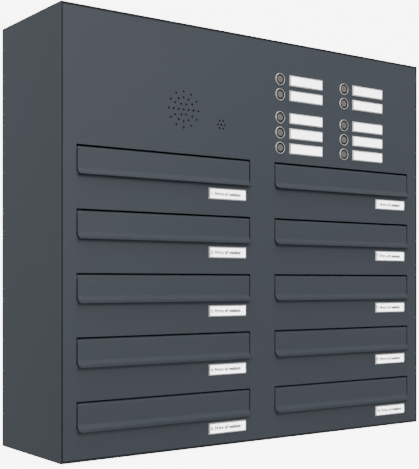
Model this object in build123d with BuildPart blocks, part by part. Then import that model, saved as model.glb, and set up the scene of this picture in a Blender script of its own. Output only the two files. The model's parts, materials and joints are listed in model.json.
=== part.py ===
from build123d import *
from math import sqrt
import os

# Bank of ten letterboxes with a bell and intercom field above them.
# Letters go in at the front, through ten flaps, and are taken out at the back, through ten doors.
# Millimetres. X runs left to right as seen from the front, Y from front to back, Z up.
# The origin is the middle of the underside, so the base bolts are placed around it.

# ---------------------------------------------------------------- cabinet
width = 874.0
depth = 235.0
row_count = 5
row_pitch = 110.0
top_bay = 230.0
base_rise = 2.0
sheet = 1.5
corner_radius = 1.2
base_bolt_x = 720.0
base_bolt_y = 150.0
base_bolt_radius = 4.5

# ---------------------------------------------------------------- front panel and its fixing
panel_sheet = 2.0
panel_return = 18.0
panel_lip = 12.0
seal_gap = 2.75
seal_setback = 1.0
seal_depth = 6.0
frame_flange = 15.0
panel_screw_inset = 9.5
panel_screw_margin = 60.0
panel_screws_per_side = 4
panel_screw_spread = 440.0
panel_screw_radius = 2.5
screw_hole_gap = 0.2
screw_head_radius = 4.75
screw_head_height = 2.75
rivet_nut_radius = 4.0
rivet_nut_length = 6.0

# ---------------------------------------------------------------- letter flaps
flap_side_margin = 32.5
flap_drop = 12.0
flap_flat = 35.0
flap_sheet = 1.5
lip_radius = 12.0
lip_turn = 75.0
lip_straight = 3.5
flap_top_gap = 3.0
flap_side_gap = 2.0
sill_gap = 1.2
sill_depth = 12.0
sill_sheet = 1.5
pivot_drop = 4.0
pivot_depth = 4.5
flap_rod_radius = 2.0
running_gap = 0.08
curl_wall = 1.5
bracket_ear = 3.0
bracket_foot = 12.0
bracket_sheet = 1.5
bracket_gap = 1.0
bracket_rise = 9.0
bracket_fall = 10.0
bracket_reach = 7.0
bumper_width = 8.0
bumper_height = 12.0
bumper_depth = 4.0
bumper_inset = 6.0
bumper_edge = 0.8
touch_gap = 0.1

# ---------------------------------------------------------------- rear doors, hinges and locks
door_gap = 3.0
door_return = 10.0
door_edge_radius = 1.0
door_rod_radius = 2.5
door_rod_edge = 7.0
door_rod_head_radius = 4.5
door_rod_head_height = 1.5
rod_seat_gap = 0.05
rod_end_inset = 0.5
strike_depth = 14.0
strike_half = 12.0
lock_edge = 22.0
lock_rim_radius = 11.0
lock_rim_height = 2.5
lock_body_radius = 9.0
lock_plug_radius = 6.0
lock_nut_size = 22.0
lock_nut_height = 3.0
thread_gap = 0.05
keyway_width = 1.6
keyway_height = 8.0
keyway_depth = 9.0
cam_gap = 1.0
cam_sheet = 2.0
cam_half = 7.0
cam_reach = 20.0
cam_square = 6.0
cam_stud_radius = 2.5
cam_stud_end = 0.5
cam_nut_radius = 4.5
cam_nut_height = 2.5
barrel_end_gap = 0.2

# ---------------------------------------------------------------- shelves, divider and rear cover
shelf_sheet = 1.2
shelf_lip = 10.0
shelf_front_gap = 0.5
shelf_corner_gap = 1.0
ear_reach = 7.0
ear_setback = 1.0
cover_gap = 1.0
rim_width = 15.0
cover_screw_inset = 7.5
cover_screw_spread = 280.0
cover_screw_radius = 2.0
cover_screw_head_radius = 4.0
cover_screw_head_height = 2.2
cover_screw_length = 8.0
grommet_rise = 60.0
grommet_radius = 12.0
grommet_bore = 8.0
grommet_flange = 3.0
grommet_flange_height = 2.0

# ---------------------------------------------------------------- bell field
bell_first_x = 44.0
bell_column_pitch = 172.0
bell_column_count = 2
bell_first_drop = 75.0
bell_pitch = 30.0
bell_group_gap = 45.0
bell_hole_radius = 10.3
bezel_radius = 11.75
bezel_height = 2.0
bezel_bore = 9.2
sleeve_gap = 0.1
sleeve_length = 12.0
contact_recess = 1.0
contact_length = 16.0
contact_floor = 3.0
button_radius = 7.0
button_proud = 1.8
button_length = 6.0
button_edge = 0.6
terminal_width = 2.8
terminal_sheet = 0.8
terminal_length = 6.0
terminal_spread = 6.0
bell_nut_size = 26.0
bell_nut_height = 3.0
spring_radius = 5.0
spring_wire = 0.4
spring_turns = 5
spring_gap = 0.1

# ---------------------------------------------------------------- name plates
plate_width = 88.0
plate_height = 21.5
plate_thickness = 3.0
plate_border = 2.5
plate_rebate = 1.2
plate_bevel = 1.8
paper_thickness = 0.4
window_thickness = 1.2
pocket_gap = 0.1
bell_plate_offset = 24.0
flap_plate_drop = 56.0
flap_plate_inset = 9.0

# ---------------------------------------------------------------- speech unit
speaker_x = -185.5
speaker_drop = 158.0
speaker_radius = 39.0
speaker_rim_height = 4.0
speaker_depth = 28.0
magnet_radius = 22.0
magnet_height = 12.0
cone_radius = 35.0
cone_depth = 10.0
microphone_x = -99.5
microphone_drop = 178.0
microphone_radius = 11.0
microphone_depth = 9.0
capsule_radius = 5.0
sound_hole_radius = 1.9
speaker_rings = [(11.0, 6), (22.0, 12), (33.0, 12)]
microphone_rings = [(8.0, 6)]
module_width = 180.0
module_depth = 100.0
module_height = 34.0
module_radius = 4.0
terminal_block_depth = 14.0
terminal_block_height = 10.0
module_screw_inset = 8.0
module_foot = 3.0

# ---------------------------------------------------------------- places worked out from the sizes above
front = -depth / 2
back = depth / 2
half_inside = width / 2 - sheet
bay_floor = base_rise + row_count * row_pitch
height = bay_floor + top_bay
panel_half = half_inside - seal_gap
panel_low = sheet + seal_gap
panel_high = height - sheet - seal_gap
panel_back = front + panel_sheet
frame_front = front + panel_return
frame_back = frame_front + sheet
column_width = width / 2
flap_width = column_width - 2 * flap_side_margin
lip_outer = lip_radius + flap_sheet
sill_drop = flap_flat + sqrt(lip_outer**2 - (lip_radius - sill_gap) ** 2)
slot_half = flap_width / 2 + flap_side_gap
curl_radius = flap_rod_radius + running_gap + curl_wall
pivot_y = front + pivot_depth
door_half_gap = door_gap / 2
door_width = half_inside - door_gap - door_half_gap
door_height = row_pitch - door_gap
rod_x = half_inside - door_gap - door_rod_edge
rod_y = back - sheet - door_rod_head_radius
strike_back = back - strike_depth
strike_front = strike_back - sheet
lock_x = door_half_gap + lock_edge
cam_back = strike_front - cam_gap
cam_front = cam_back - cam_sheet
bay_shelf_top = bay_floor + shelf_sheet / 2
cover_low = bay_shelf_top + cover_gap
rim_low = bay_shelf_top + door_rod_head_height + shelf_corner_gap
cover_high = height - sheet - cover_gap
rim_back = back - sheet
rim_front = rim_back - sheet
speaker_z = height - speaker_drop
microphone_z = height - microphone_drop

sides = {"left": -1, "right": 1}
flap_tops = [bay_floor - flap_drop - row * row_pitch for row in range(row_count)]
door_middles = [bay_floor - (row + 0.5) * row_pitch for row in range(row_count)]
shelf_levels = [bay_floor - (row + 1) * row_pitch for row in range(row_count - 1)]
bell_xs = [bell_first_x + column * bell_column_pitch for column in range(bell_column_count)]
bell_zs = [height - bell_first_drop, height - bell_first_drop - bell_pitch]
bell_zs += [bell_zs[1] - bell_group_gap - step * bell_pitch for step in range(3)]


def upright(y):
    """A vertical plane at y: sketches read X across and Z up, and extrusions grow to the front."""
    return Plane((0, y, 0), x_dir=(1, 0, 0), z_dir=(0, -1, 0))


def section(x, y, z):
    """A plane across the cabinet: sketches read Y across and Z up, and extrusions grow to the right."""
    return Plane((x, y, z), x_dir=(0, 1, 0), z_dir=(1, 0, 0))


def level(x, y, z):
    """A horizontal plane at a point: sketches read X and Y."""
    return Plane((x, y, z))


def save(shape, name):
    shape.label = name
    export_step(shape, f"parts/{name}.step")


def save_group(pieces, name):
    save(Compound(children=pieces), name)


def repeat(piece, places, name):
    """Writes one node that holds a copy of the piece at each place."""
    with BuildPart() as group:
        with Locations(*places):
            add(piece)
    save(group.part, name)


def panel_screw_places():
    """Centres of the panel screws on the front frame: up both sides, and along the top and bottom."""
    side_x = half_inside - panel_screw_inset
    step = (height - 2 * panel_screw_margin) / (panel_screws_per_side - 1)
    rises = [panel_screw_margin + step * index for index in range(panel_screws_per_side)]
    places = [(sign * side_x, rise) for sign in sides.values() for rise in rises]
    edge = sheet + panel_screw_inset
    spread = panel_screw_spread / 2
    places += [(sign * spread, z) for sign in sides.values() for z in (edge, height - edge)]
    return places


def cover_screw_places():
    """Centres of the rear cover's screws."""
    low = bay_shelf_top + cover_gap + cover_screw_inset
    high = height - sheet - cover_screw_inset
    places = [(step * cover_screw_spread, z) for step in (-1, 0, 1) for z in (low, high)]
    side_x = half_inside - cover_screw_inset
    places += [(sign * side_x, (low + high) / 2) for sign in sides.values()]
    return places


def column_centre(side):
    return sides[side] * column_width / 2


# ---------------------------------------------------------------- cabinet shell
def mitred(ring, names):
    """Cuts a ring that follows the cabinet's outline into the named sides, mitred at its corners."""
    inner = half_inside - frame_flange - shelf_corner_gap
    low = sheet + frame_flange + shelf_corner_gap
    high = height - low
    corners = {
        "left": [(-width / 2, 0), (-inner, low), (-inner, high), (-width / 2, height)],
        "right": [(width / 2, 0), (inner, low), (inner, high), (width / 2, height)],
        "bottom": [(-width / 2, 0), (-inner, low), (inner, low), (width / 2, 0)],
        "top": [(-width / 2, height), (-inner, high), (inner, high), (width / 2, height)],
    }
    pieces = []
    for name in names:
        with BuildPart() as piece:
            add(ring)
            with BuildSketch(upright(back)):
                with BuildLine():
                    Polyline(*corners[name], close=True)
                make_face()
            extrude(amount=depth, mode=Mode.INTERSECT)
        pieces.append(piece.part)
    return pieces


def make_casing():
    """Outer sheets, the frame that carries the front panel and the rim behind the rear cover, welded up."""
    with BuildPart() as wrap:
        with BuildSketch(upright(back)):
            with Locations((0, height / 2)):
                Rectangle(width, height)
        extrude(amount=depth)
        fillet(wrap.edges().filter_by(Axis.Y), radius=corner_radius)
        with BuildSketch(upright(back)):
            with Locations((0, height / 2)):
                Rectangle(2 * half_inside, height - 2 * sheet)
        extrude(amount=depth, mode=Mode.SUBTRACT)
        # Holes in the floor: the base bolts and the lower ends of the door rods.
        with BuildSketch(Plane.XY):
            with GridLocations(base_bolt_x, base_bolt_y, 2, 2):
                Circle(base_bolt_radius)
            with Locations((-rod_x, rod_y), (rod_x, rod_y)):
                Circle(door_rod_radius + rod_seat_gap)
        extrude(amount=sheet, mode=Mode.SUBTRACT)
    with BuildPart() as front_frame:
        with BuildSketch(upright(frame_back)):
            with Locations((0, height / 2)):
                Rectangle(2 * half_inside, height - 2 * sheet)
                opening = 2 * (sheet + frame_flange)
                Rectangle(width - opening, height - opening, mode=Mode.SUBTRACT)
            with Locations(*panel_screw_places()):
                Circle(panel_screw_radius + screw_hole_gap, mode=Mode.SUBTRACT)
        extrude(amount=sheet)
    # The rim runs across the top and down both sides of the top bay.
    with BuildPart() as rim:
        with BuildSketch(upright(rim_back)):
            with Locations((0, rim_low)):
                rim_height = height - sheet - rim_low
                Rectangle(2 * half_inside, rim_height, align=(Align.CENTER, Align.MIN))
                inner = (2 * (half_inside - rim_width), rim_height - rim_width)
                Rectangle(*inner, align=(Align.CENTER, Align.MIN), mode=Mode.SUBTRACT)
            with Locations(*cover_screw_places()):
                Circle(cover_screw_radius + rod_seat_gap, mode=Mode.SUBTRACT)
        extrude(amount=sheet)
    pieces = mitred(wrap.part, ["left", "right", "bottom", "top"])
    pieces += mitred(front_frame.part, ["left", "right", "bottom", "top"])
    pieces += mitred(rim.part, ["left", "right", "top"])
    save_group(pieces, "casing")


def make_front_panel():
    panel_width = 2 * panel_half
    panel_height = panel_high - panel_low
    middle = (0, (panel_high + panel_low) / 2)
    with BuildPart() as panel:
        with BuildSketch(upright(panel_back)):
            with Locations(middle):
                Rectangle(panel_width, panel_height)
        extrude(amount=panel_sheet)
        with BuildSketch(upright(frame_front)):
            with Locations(middle):
                Rectangle(panel_width, panel_height)
                fold = 2 * panel_sheet
                Rectangle(panel_width - fold, panel_height - fold, mode=Mode.SUBTRACT)
        extrude(amount=panel_return)
        with BuildSketch(upright(frame_front)):
            with Locations(middle):
                Rectangle(panel_width, panel_height)
                inside = 2 * panel_lip
                Rectangle(panel_width - inside, panel_height - inside, mode=Mode.SUBTRACT)
            with Locations(*panel_screw_places()):
                Circle(panel_screw_radius + screw_hole_gap, mode=Mode.SUBTRACT)
        extrude(amount=panel_sheet)
        # Letter slots, each with a sill folded back along its lower edge.
        slot_height = sill_drop + flap_top_gap
        slots = [(column_centre(side), top - sill_drop) for side in sides for top in flap_tops]
        with BuildSketch(upright(panel_back)):
            with Locations(*slots):
                Rectangle(2 * slot_half, slot_height, align=(Align.CENTER, Align.MIN))
        extrude(amount=panel_sheet, mode=Mode.SUBTRACT)
        with BuildSketch(upright(front + sill_depth)):
            with Locations(*slots):
                Rectangle(2 * slot_half, sill_sheet, align=(Align.CENTER, Align.MAX))
        extrude(amount=sill_depth - panel_sheet)
        # Bell holes and the two groups of sound holes.
        with BuildSketch(upright(panel_back)):
            with Locations(*[(x, z) for x in bell_xs for z in bell_zs]):
                Circle(bell_hole_radius)
            with Locations((speaker_x, speaker_z), (microphone_x, microphone_z)):
                Circle(sound_hole_radius)
            for radius, count in speaker_rings:
                with Locations((speaker_x, speaker_z)):
                    with PolarLocations(radius, count):
                        Circle(sound_hole_radius)
            for radius, count in microphone_rings:
                with Locations((microphone_x, microphone_z)):
                    with PolarLocations(radius, count):
                        Circle(sound_hole_radius)
        extrude(amount=panel_sheet, mode=Mode.SUBTRACT)
    save(panel.part, "front_panel")


def make_front_seal():
    with BuildPart() as seal:
        with BuildSketch(upright(front + seal_setback + seal_depth)):
            with Locations((0, height / 2)):
                Rectangle(2 * half_inside, height - 2 * sheet)
                Rectangle(2 * panel_half, panel_high - panel_low, mode=Mode.SUBTRACT)
        extrude(amount=seal_depth)
    save(seal.part, "front_seal")


def make_centre_divider():
    """Upright web between the columns, and the strip welded along its rear that the lock cams close behind."""
    web_front = panel_back + shelf_front_gap
    web_top = bay_floor - shelf_sheet / 2
    notch_top = sheet + frame_flange + shelf_corner_gap
    notch_back = frame_back + shelf_corner_gap
    outline = [
        (notch_back, sheet),
        (strike_front, sheet),
        (strike_front, web_top),
        (web_front, web_top),
        (web_front, notch_top),
        (notch_back, notch_top),
    ]
    with BuildPart() as web:
        with BuildSketch(section(-sheet / 2, 0, 0)):
            with BuildLine():
                Polyline(*outline, close=True)
            make_face()
        extrude(amount=sheet)
    with BuildPart() as strike:
        with BuildSketch(upright(strike_back)):
            with Locations((0, sheet)):
                Rectangle(2 * strike_half, web_top - sheet, align=(Align.CENTER, Align.MIN))
        extrude(amount=sheet)
    save_group([web.part, strike.part], "centre_divider")


# ---------------------------------------------------------------- shelves
def shelf_notch():
    """Size of the front corner cut-out that clears the frame and the panel screws."""
    across = frame_flange + shelf_corner_gap
    along = frame_back + screw_head_height + shelf_corner_gap
    return across, along


def make_shelf(side, rise):
    """One shelf: a flat sheet, an ear around the door rod and a stiffening lip along the back."""
    sign = sides[side]
    across, along = shelf_notch()
    shelf_front = panel_back + shelf_front_gap
    ear_x = rod_x - ear_reach
    ear_back = back - ear_setback
    outline = [
        (sheet / 2, shelf_front),
        (half_inside - across, shelf_front),
        (half_inside - across, along),
        (half_inside, along),
        (half_inside, ear_back),
        (ear_x, ear_back),
        (ear_x, strike_front),
        (sheet / 2, strike_front),
    ]
    with BuildPart() as shelf:
        with BuildSketch(level(0, 0, rise - shelf_sheet / 2)):
            with BuildLine():
                Polyline(*[(sign * x, y) for x, y in outline], close=True)
            make_face()
            with Locations((sign * rod_x, rod_y)):
                Circle(door_rod_radius + rod_seat_gap, mode=Mode.SUBTRACT)
        extrude(amount=shelf_sheet)
        lip_width = ear_x - sheet / 2
        with BuildSketch(upright(strike_front)):
            with Locations((sign * (ear_x + sheet / 2) / 2, rise)):
                Rectangle(lip_width, shelf_lip, align=(Align.CENTER, Align.MAX))
        extrude(amount=shelf_sheet)
    return shelf.part


def make_bay_shelf():
    """Full-width floor of the top bay, turned up at the back for the rear cover's lower edge."""
    across, along = shelf_notch()
    shelf_front = panel_back + shelf_front_gap
    half_outline = [
        (half_inside - across, shelf_front),
        (half_inside - across, along),
        (half_inside, along),
        (half_inside, rim_back),
    ]
    other_half = [(-x, y) for x, y in reversed(half_outline)]
    flange_half = half_inside - rim_width - shelf_corner_gap
    bottom_screws = [place for place in cover_screw_places() if place[1] < bay_floor + rim_width]
    with BuildPart() as shelf:
        with BuildSketch(level(0, 0, bay_floor - shelf_sheet / 2)):
            with BuildLine():
                Polyline(*half_outline, *other_half, close=True)
            make_face()
            with Locations((-rod_x, rod_y), (rod_x, rod_y)):
                Circle(door_rod_radius + rod_seat_gap, mode=Mode.SUBTRACT)
        extrude(amount=shelf_sheet)
        with BuildSketch(upright(rim_back)):
            with Locations((0, bay_floor)):
                Rectangle(2 * flange_half, rim_width, align=(Align.CENTER, Align.MIN))
            with Locations(*bottom_screws):
                Circle(cover_screw_radius + rod_seat_gap, mode=Mode.SUBTRACT)
        extrude(amount=sheet)
    return shelf.part


def make_shelves():
    pieces = [make_shelf(side, rise) for side in sides for rise in shelf_levels]
    pieces.append(make_bay_shelf())
    save_group(pieces, "compartment_shelves")


def make_service_cover():
    with BuildPart() as cover:
        with BuildSketch(upright(back)):
            with Locations((0, cover_low)):
                size = (2 * (half_inside - cover_gap), cover_high - cover_low)
                Rectangle(*size, align=(Align.CENTER, Align.MIN))
            with Locations(*cover_screw_places()):
                Circle(cover_screw_radius + screw_hole_gap, mode=Mode.SUBTRACT)
            with Locations((0, bay_floor + grommet_rise)):
                Circle(grommet_radius + touch_gap, mode=Mode.SUBTRACT)
        extrude(amount=sheet)
    save(cover.part, "service_cover")


def make_cable_grommet():
    """Rubber ring that grips the rear cover's sheet between two flanges."""
    outer = grommet_radius + grommet_flange
    half_length = sheet / 2 + grommet_flange_height
    with BuildPart() as grommet:
        with BuildSketch(upright(back - sheet / 2)):
            with Locations((0, bay_floor + grommet_rise)):
                Circle(outer)
                Circle(grommet_bore, mode=Mode.SUBTRACT)
        extrude(amount=half_length, both=True)
        with BuildSketch(upright(back)):
            with Locations((0, bay_floor + grommet_rise)):
                Circle(outer)
                Circle(grommet_radius, mode=Mode.SUBTRACT)
        extrude(amount=sheet, mode=Mode.SUBTRACT)
    save(grommet.part, "cable_grommet")


# ---------------------------------------------------------------- letter flaps
def make_flap(side, row):
    """Flap plate with a forward grip lip along the bottom and a hinge curl behind the top."""
    left_end = column_centre(side) - flap_width / 2
    with BuildPart() as flap:
        with BuildSketch(section(left_end, front, flap_tops[row])):
            with BuildLine():
                face = Line((0, 0), (0, -flap_flat))
                lip = JernArc(start=face @ 1, tangent=(0, -1), radius=lip_radius, arc_size=-lip_turn)
                edge = PolarLine(start=lip @ 1, length=lip_straight, direction=lip % 1)
                tip = PolarLine(start=edge @ 1, length=flap_sheet, angle=-lip_turn)
                under = PolarLine(start=tip @ 1, length=lip_straight, angle=90 - lip_turn)
                bend = JernArc(start=under @ 1, tangent=under % 1, radius=lip_outer, arc_size=lip_turn)
                rear = Line(bend @ 1, (flap_sheet, 0))
                Line(rear @ 1, (0, 0))
            make_face()
            with Locations((pivot_depth, -pivot_drop)):
                Circle(curl_radius)
                Circle(flap_rod_radius + running_gap, mode=Mode.SUBTRACT)
        extrude(amount=flap_width)
    save(flap.part, f"flap_{side}_{row + 1}")


def flap_pivots():
    """Middle of each flap's hinge rod, as X and Z."""
    return [(column_centre(side), top - pivot_drop) for side in sides for top in flap_tops]


def make_hinge_rods():
    half_length = slot_half + bracket_gap + bracket_ear
    with BuildPart() as flap_rod:
        with BuildSketch(section(-half_length, 0, 0)):
            Circle(flap_rod_radius)
        extrude(amount=2 * half_length)
    with BuildPart() as door_rod:
        with BuildSketch(level(0, 0, rod_end_inset)):
            Circle(door_rod_radius)
        extrude(amount=bay_shelf_top - rod_end_inset)
        with BuildSketch(level(0, 0, bay_shelf_top)):
            Circle(door_rod_head_radius)
        extrude(amount=door_rod_head_height)
    with BuildPart() as rods:
        with Locations(*[(x, pivot_y, z) for x, z in flap_pivots()]):
            add(flap_rod.part)
        with Locations((-rod_x, rod_y, 0), (rod_x, rod_y, 0)):
            add(door_rod.part)
    save(rods.part, "hinge_rods")


def make_hinge_bracket(sign):
    """Angle bracket beside a slot: a foot against the panel's back and an ear around the rod."""
    ear_x = slot_half + bracket_gap
    ear_start = ear_x if sign > 0 else -ear_x - bracket_ear
    ear_rise = (bracket_rise - bracket_fall) / 2
    foot_x = sign * (ear_x + bracket_ear + bracket_foot / 2)
    with BuildPart() as bracket:
        with BuildSketch(upright(panel_back + bracket_sheet)):
            with Locations((foot_x, ear_rise)):
                Rectangle(bracket_foot, bracket_rise + bracket_fall)
        extrude(amount=bracket_sheet)
        with BuildSketch(section(ear_start, panel_back, ear_rise)):
            with Locations((bracket_reach / 2, 0)):
                Rectangle(bracket_reach, bracket_rise + bracket_fall)
            with Locations((pivot_y - panel_back, -ear_rise)):
                Circle(flap_rod_radius + rod_seat_gap, mode=Mode.SUBTRACT)
        extrude(amount=bracket_ear)
    return bracket.part


def make_hinge_brackets():
    left = make_hinge_bracket(-1)
    right = make_hinge_bracket(1)
    with BuildPart() as brackets:
        with Locations(*[(x, 0, z) for x, z in flap_pivots()]):
            add(left)
            add(right)
    save(brackets.part, "flap_hinge_brackets")


def make_bumpers():
    """Rubber blocks on the sills that the closed flaps lie against."""
    with BuildPart() as bumper:
        with BuildSketch(level(0, 0, 0)):
            Rectangle(bumper_width, bumper_depth, align=(Align.CENTER, Align.MIN))
        extrude(amount=bumper_height)
        fillet(bumper.edges().filter_by(Axis.Z), radius=bumper_edge)
    offset = flap_width / 2 - bumper_inset
    y = front + flap_sheet + touch_gap
    places = []
    for side in sides:
        for top in flap_tops:
            for sign in sides.values():
                places.append((column_centre(side) + sign * offset, y, top - sill_drop))
    repeat(bumper.part, places, "flap_bumpers")


# ---------------------------------------------------------------- rear doors and locks
def make_door(side, row):
    """Rear door tray with its lock barrel and the nut that clamps the barrel."""
    sign = sides[side]
    middle = door_middles[row]
    door_x = sign * (door_half_gap + door_width / 2)
    half_height = door_height / 2
    with BuildPart() as door:
        with BuildSketch(upright(back)):
            with Locations((door_x, middle)):
                Rectangle(door_width, door_height)
        extrude(amount=door_return)
        outer_face = door.faces().sort_by(Axis.Y)[-1]
        fillet(outer_face.edges(), radius=door_edge_radius)
        with BuildSketch(upright(back - sheet)):
            with Locations((door_x, middle)):
                Rectangle(door_width - 2 * sheet, door_height - 2 * sheet)
        extrude(amount=door_return, mode=Mode.SUBTRACT)
        with BuildSketch(upright(back)):
            with Locations((sign * lock_x, middle)):
                Circle(lock_body_radius + thread_gap)
        extrude(amount=sheet, mode=Mode.SUBTRACT)
        with BuildSketch(level(sign * rod_x, rod_y, middle - half_height)):
            Circle(door_rod_radius + running_gap)
        extrude(amount=door_height, mode=Mode.SUBTRACT)
    with BuildPart() as barrel:
        with BuildSketch(upright(back + lock_rim_height)):
            with Locations((sign * lock_x, middle)):
                Circle(lock_rim_radius)
        extrude(amount=lock_rim_height)
        fillet(barrel.edges().sort_by(Axis.Y)[-1], radius=lock_rim_height / 3)
        with BuildSketch(upright(back)):
            with Locations((sign * lock_x, middle)):
                Circle(lock_body_radius)
        extrude(amount=back - cam_back - barrel_end_gap)
        with BuildSketch(upright(back + lock_rim_height)):
            with Locations((sign * lock_x, middle)):
                Circle(lock_plug_radius + running_gap)
        extrude(amount=lock_rim_height + depth / 2, mode=Mode.SUBTRACT)
    with BuildPart() as nut:
        with BuildSketch(upright(back - sheet)):
            with Locations((sign * lock_x, middle)):
                RegularPolygon(radius=lock_nut_size / 2, side_count=6, major_radius=False)
                Circle(lock_body_radius + thread_gap, mode=Mode.SUBTRACT)
        extrude(amount=lock_nut_height)
    save_group([door.part, barrel.part, nut.part], f"door_{side}_{row + 1}")


def make_lock_cam(side, row):
    """Lock plug with its keyway, the cam on its squared end, hanging straight down, and the cam's nut."""
    middle = door_middles[row]
    centre = (sides[side] * lock_x, middle)
    with BuildPart() as plug:
        with BuildSketch(upright(back + lock_rim_height)):
            with Locations(centre):
                Circle(lock_plug_radius)
        extrude(amount=back + lock_rim_height - cam_back)
        with BuildSketch(upright(back + lock_rim_height)):
            with Locations(centre):
                Rectangle(keyway_width, keyway_height)
        extrude(amount=keyway_depth, mode=Mode.SUBTRACT)
        with BuildSketch(upright(cam_back)):
            with Locations(centre):
                Rectangle(cam_square, cam_square)
        extrude(amount=cam_sheet)
        with BuildSketch(upright(cam_front)):
            with Locations(centre):
                Circle(cam_stud_radius)
        extrude(amount=cam_nut_height + cam_stud_end)
    with BuildPart() as cam:
        with BuildSketch(upright(cam_back)):
            with Locations(centre):
                Circle(cam_half)
                straight = cam_reach - cam_half
                Rectangle(2 * cam_half, straight, align=(Align.CENTER, Align.MAX))
            with Locations((centre[0], middle - straight)):
                Circle(cam_half)
            with Locations(centre):
                hole = cam_square + 2 * thread_gap
                Rectangle(hole, hole, mode=Mode.SUBTRACT)
        extrude(amount=cam_sheet)
    with BuildPart() as nut:
        with BuildSketch(upright(cam_front)):
            with Locations(centre):
                RegularPolygon(radius=cam_nut_radius, side_count=6)
                Circle(cam_stud_radius + thread_gap, mode=Mode.SUBTRACT)
        extrude(amount=cam_nut_height)
    save_group([plug.part, cam.part, nut.part], f"lock_cam_{side}_{row + 1}")


# ---------------------------------------------------------------- bell buttons
def bell_places():
    return [(x, 0, z) for x in bell_xs for z in bell_zs]


def make_bell_bezels():
    """Steel ring on the panel's face, in one piece with the sleeve that goes through the panel."""
    with BuildPart() as bezel:
        with BuildSketch(upright(front)):
            Circle(bezel_radius)
        extrude(amount=bezel_height)
        fillet(bezel.edges().sort_by(Axis.Y)[0], radius=bezel_height / 2)
        with BuildSketch(upright(front + sleeve_length)):
            Circle(bell_hole_radius - sleeve_gap)
        extrude(amount=sleeve_length)
        with BuildSketch(upright(front + sleeve_length)):
            Circle(bezel_bore)
        extrude(amount=sleeve_length + bezel_height, mode=Mode.SUBTRACT)
    repeat(bezel.part, bell_places(), "bell_bezels")


def make_bell_contacts():
    """Plastic insert that guides the button and holds the contact, with two solder tags."""
    insert_front = front - bezel_height + contact_recess
    insert_back = front + contact_length
    with BuildPart() as contact:
        with BuildSketch(upright(insert_back)):
            Circle(bezel_bore - rod_seat_gap)
        extrude(amount=insert_back - insert_front)
        with BuildSketch(upright(insert_back - contact_floor)):
            Circle(button_radius + running_gap)
        extrude(amount=insert_back - insert_front, mode=Mode.SUBTRACT)
        with BuildSketch(upright(insert_back + terminal_length)):
            with GridLocations(terminal_spread, 0, 2, 1):
                Rectangle(terminal_sheet, terminal_width)
        extrude(amount=terminal_length)
    repeat(contact.part, bell_places(), "bell_contacts")


def make_bell_button(side, row):
    """Round push cap that slides in the insert."""
    x = bell_xs[0] if side == "left" else bell_xs[-1]
    with BuildPart() as button:
        with BuildSketch(upright(front - button_proud + button_length)):
            with Locations((x, bell_zs[row])):
                Circle(button_radius)
        extrude(amount=button_length)
        fillet(button.edges().sort_by(Axis.Y)[0], radius=button_edge)
    save(button.part, f"bell_button_{side}_{row + 1}")


def make_bell_springs():
    """Return spring between each cap and the floor of its insert."""
    cap_back = front - button_proud + button_length
    insert_floor = front + contact_length - contact_floor
    start = cap_back + spring_gap + spring_wire
    length = insert_floor - spring_gap - spring_wire - start
    with BuildPart() as spring:
        with BuildLine() as coil:
            Helix(length / spring_turns, length, spring_radius, center=(0, start, 0), direction=(0, 1, 0))
        with BuildSketch(Plane(origin=coil.line @ 0, z_dir=coil.line % 0)):
            Circle(spring_wire)
        sweep(is_frenet=True)
    repeat(spring.part, bell_places(), "bell_springs")


# ---------------------------------------------------------------- name plates
def plate_places():
    """Middle of each name plate on the panel's face: one beside each bell, one below each flap."""
    beside = bell_plate_offset + plate_width / 2
    places = [(x + beside, front, z) for x in bell_xs for z in bell_zs]
    for side in sides:
        x = column_centre(side) + flap_width / 2 - flap_plate_inset - plate_width / 2
        for top in flap_tops:
            places.append((x, front, top - flap_plate_drop - plate_height / 2))
    return places


def make_nameplates():
    """Bevelled frame with a rebate behind it that holds a paper insert under a clear window."""
    aperture = (plate_width - 2 * plate_border, plate_height - 2 * plate_border)
    pocket = (aperture[0] + 2 * plate_rebate, aperture[1] + 2 * plate_rebate)
    filling = (pocket[0] - 2 * pocket_gap, pocket[1] - 2 * pocket_gap)
    pocket_depth = paper_thickness + window_thickness
    with BuildPart() as frame:
        with BuildSketch(upright(0)):
            Rectangle(plate_width, plate_height)
        extrude(amount=plate_thickness)
        chamfer(frame.faces().sort_by(Axis.Y)[0].edges(), length=plate_bevel)
        with BuildSketch(upright(0)):
            Rectangle(*aperture)
        extrude(amount=plate_thickness, mode=Mode.SUBTRACT)
        with BuildSketch(upright(0)):
            Rectangle(*pocket)
        extrude(amount=pocket_depth, mode=Mode.SUBTRACT)
    with BuildPart() as paper:
        with BuildSketch(upright(0)):
            Rectangle(*filling)
        extrude(amount=paper_thickness)
    with BuildPart() as window:
        with BuildSketch(upright(-paper_thickness)):
            Rectangle(*filling)
        extrude(amount=window_thickness)
    repeat(frame.part, plate_places(), "nameplate_frames")
    repeat(paper.part, plate_places(), "nameplate_inserts")
    repeat(window.part, plate_places(), "nameplate_windows")


# ---------------------------------------------------------------- speech unit
def make_speaker():
    """Loudspeaker against the panel's back: rim, hollow cone, tapering basket and magnet."""
    basket_depth = speaker_depth - magnet_height
    profile = [
        (0, cone_depth),
        (cone_radius, 0),
        (speaker_radius, 0),
        (speaker_radius, speaker_rim_height),
        (magnet_radius, basket_depth),
        (magnet_radius, speaker_depth),
        (0, speaker_depth),
    ]
    with BuildPart() as speaker:
        with BuildSketch(level(speaker_x, panel_back, speaker_z)):
            with BuildLine():
                Polyline(*profile, close=True)
            make_face()
        revolve(axis=Axis((speaker_x, panel_back, speaker_z), (0, 1, 0)))
    save(speaker.part, "speaker")


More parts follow.
